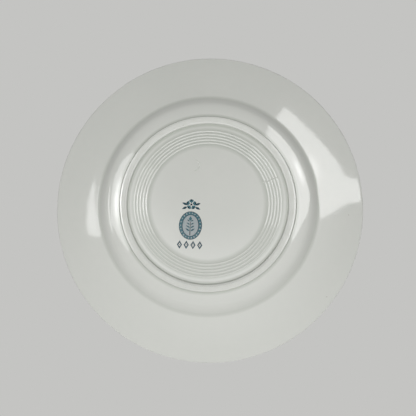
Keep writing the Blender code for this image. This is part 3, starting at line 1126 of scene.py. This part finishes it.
class PLATE_OT_stage(bpy.types.Operator):
    """Set the floor, the soft lights and the camera"""
    bl_idname = "plate.stage"
    bl_label = "Stage"

    def execute(self, context):
        look = context.scene.plate_stage
        self.floor(look)
        self.world(context.scene, look)
        for name, details in PANELS.items():
            self.panel(name, *details)
        for name, details in LAMPS.items():
            self.lamp(name, *details)
        self.camera(context.scene, look)
        return {"FINISHED"}

    def floor(self, look):
        """Plain floor just below the foot ring's bearing edge, seen by the camera alone."""
        mesh = bpy.data.meshes.new("floor")
        shape = bmesh.new()
        bmesh.ops.create_grid(shape, x_segments=1, y_segments=1, size=FLOOR_REACH)
        shape.to_mesh(mesh)
        shape.free()
        mesh.materials.append(floor_paint(look.floor))
        floor = bpy.data.objects.new("floor", mesh)
        floor.location.z = -FLOOR_DROP
        bpy.context.scene.collection.objects.link(floor)
        floor.visible_diffuse = False
        floor.visible_glossy = False
        floor.visible_transmission = False
        floor.visible_shadow = False

    def world(self, scene, look):
        """The room: broad soft glows that light the plate, and a plain backdrop behind it."""
        world = bpy.data.worlds.new("soft_room")
        world.use_nodes = True
        tree = world.node_tree
        tree.nodes.clear()
        way = add(tree, "ShaderNodeTexCoord").outputs["Generated"]
        total = 0.0
        for towards, start, strength in GLOWS.values():
            facing = add(tree, "ShaderNodeVectorMath", {
                0: way, 1: Vector(towards).normalized()}, operation="DOT_PRODUCT")
            glow = add(tree, "ShaderNodeMapRange", {
                0: facing.outputs["Value"], 1: start, 2: 1, 4: strength,
            }, interpolation_type="SMOOTHSTEP")
            total = add(tree, "ShaderNodeMath", {0: total, 1: glow}, operation="ADD")
        light = add(tree, "ShaderNodeBackground", {"Color": WHITE, "Strength": total})
        seen = add(tree, "ShaderNodeBackground", {"Color": opaque(look.backdrop), "Strength": 1})
        direct = add(tree, "ShaderNodeLightPath").outputs["Is Camera Ray"]
        both = add(tree, "ShaderNodeMixShader", {0: direct, 1: light, 2: seen})
        add(tree, "ShaderNodeOutputWorld", {"Surface": both})
        scene.world = world
        scene.view_settings.view_transform = "Standard"

    def panel(self, name, outline, strength, patch, spread, extra):
        """Bright window panel below the plate, seen only as a reflection in the gloss."""
        mesh = bpy.data.meshes.new(name)
        corners = [(x * PANEL_DISTANCE, -y * PANEL_DISTANCE, -PANEL_DISTANCE) for x, y in outline]
        mesh.from_pydata(corners, [], [range(len(corners))])
        made, tree, spot = new_material(name + "_light")
        heart = (patch[0] * PANEL_DISTANCE, -patch[1] * PANEL_DISTANCE, -PANEL_DISTANCE)
        away = add(tree, "ShaderNodeVectorMath", {0: spot, 1: heart}, operation="DISTANCE")
        bright = add(tree, "ShaderNodeMapRange", {
            0: away.outputs["Value"], 2: spread * PANEL_DISTANCE, 3: strength + extra, 4: strength,
        }, interpolation_type="SMOOTHERSTEP")
        glow = add(tree, "ShaderNodeEmission", {"Color": WHITE, "Strength": bright})
        add(tree, "ShaderNodeOutputMaterial", {"Surface": glow})
        mesh.materials.append(made)
        panel = bpy.data.objects.new(name, mesh)
        bpy.context.scene.collection.objects.link(panel)
        panel.visible_camera = False
        panel.visible_diffuse = False
        panel.visible_shadow = False

    def lamp(self, name, place, size, power, tone):
        """Soft area light that points at the plate."""
        light = bpy.data.lights.new(name, "AREA")
        light.shape = "DISK"
        light.size = size
        light.energy = power
        light.color = linear(tone)
        lamp = bpy.data.objects.new(name, light)
        lamp.location = place
        lamp.rotation_euler = Vector(place).to_track_quat("Z", "Y").to_euler()
        lamp.visible_camera = False
        lamp.visible_glossy = False
        bpy.context.scene.collection.objects.link(lamp)

    def camera(self, scene, look):
        """Camera below the plate, looking up at its back, with world -Y up in the picture."""
        data = bpy.data.cameras.new("camera")
        data.lens = look.lens
        data.sensor_width = SENSOR_WIDTH
        camera = bpy.data.objects.new("camera", data)
        scene.collection.objects.link(camera)
        tipped = Matrix.Rotation(look.swing, 3, "Y") @ Matrix.Rotation(look.tip, 3, "X")
        facing = Matrix.Rotation(math.pi, 3, "X") @ tipped.transposed()
        place = facing @ Vector((look.aside, -look.above, look.distance))
        camera.matrix_world = Matrix.Translation(place) @ facing.to_4x4()
        scene.camera = camera


WHITE = (1, 1, 1, 1)
SENSOR_WIDTH = 36
FLOOR_REACH = 4.0
FLOOR_DROP = 0.2 * MM
PANEL_DISTANCE = 3.0
# Window panels: outline as (right, up) per unit of distance below the plate, strength, and the
# brighter patch of sky in them: its place, its spread and its added strength
PANELS = {
    "window_right": ([
        (0.37, -0.16), (0.83, 0.03), (1.16, 0.18), (1.42, 0.23), (1.42, 0.43), (1.17, 0.42),
        (1.0, 0.66), (0.61, 1.03), (0.35, 0.61),
    ], 4.9, (0.72, 0.42), 0.2, 5.0),
    "window_left": ([
        (-0.36, -0.18), (-0.56, -0.18), (-0.72, -0.11), (-0.9, -0.04), (-0.9, 0.4),
        (-0.8, 0.52), (-0.38, 0.47),
    ], 3.9, (-0.58, 0.15), 0.26, 9.0),
    "window_left_side": ([
        (-0.9, -0.12), (-1.06, -0.1), (-1.08, 0.0), (-1.08, 0.16), (-1.06, 0.26), (-1.02, 0.4),
        (-1.0, 0.3), (-0.97, 0.08),
    ], 4.6, (-1.0, 0.1), 0.2, 0.5),
}
# Broad glows of the room: direction, cosine at which each fades out, strength. The shade is a
# glow taken away, and is never stronger than the two glows that it lies in.
GLOWS = {
    "front": ((0, 0, -1), 0.6, 1.0),
    "front_near": ((0, 0.03, -1), 0.91, 1.9),
    "front_shade": ((-0.02, -0.17, -1), 0.975, -2.6),
    "low": ((0, 0.94, -0.34), 0.3, 0.34),
    "high": ((0, -0.94, -0.34), 0.3, 0.2),
    "right": ((0.6, 0, -0.8), 0.4, 0.2),
    "right_near": ((0.35, 0, -0.93), 0.9, 0.2),
    "left": ((-0.97, 0, -0.25), 0.3, 0.22),
    "above": ((0, 0, 1), 0.0, 0.7),
}
# Soft lamps, which the gloss doesn't mirror: place, width, power in watts, colour
LAMPS = {
    "lamp_low": ((0.0, 1.15, -0.5), 0.4, 2.75, "#FFFFFF"),
    "lamp_above": ((-0.8, -0.9, 1.5), 1.2, 20, "#FFFDF8"),
    "lamp_above_side": ((1.4, 0.4, 0.9), 0.8, 7, "#F8FBFF"),
}


class PLATE_PT_panel(bpy.types.Panel):
    """Lists the plate's pieces and the stage"""
    bl_idname = "PLATE_PT_panel"
    bl_label = "China Dinner Plate"
    bl_space_type = "VIEW_3D"
    bl_region_type = "UI"
    bl_category = "Plate"

    def draw(self, context):
        for operator in OPERATORS:
            self.layout.operator(operator.bl_idname)
        for group in PROPERTIES:
            settings = getattr(context.scene, group)
            box = self.layout.box()
            for name in settings.bl_rna.properties.keys():
                if name not in ("rna_type", "name"):
                    box.prop(settings, name)


OPERATORS = [
    PLATE_OT_fired_body, PLATE_OT_outer_glaze, PLATE_OT_base_glaze, PLATE_OT_kiln_marks,
    PLATE_OT_print, PLATE_OT_stage,
]
PROPERTIES = {
    "plate_shape": PlateShape, "plate_print": PrintLook, "plate_glaze": GlazeLook,
    "plate_stage": StageLook,
}


def register():
    for group in [*PROPERTIES.values(), *OPERATORS, PLATE_PT_panel]:
        bpy.utils.register_class(group)
    for name, group in PROPERTIES.items():
        setattr(bpy.types.Scene, name, bpy.props.PointerProperty(type=group))


def unregister():
    for name in PROPERTIES:
        delattr(bpy.types.Scene, name)
    for group in [PLATE_PT_panel, *OPERATORS, *PROPERTIES.values()]:
        bpy.utils.unregister_class(group)


def main():
    register()
    bpy.ops.plate.fired_body()
    bpy.ops.plate.outer_glaze()
    bpy.ops.plate.base_glaze()
    bpy.ops.plate.kiln_marks()
    bpy.ops.plate.print()
    bpy.ops.plate.stage()


if __name__ == "__main__":
    main()
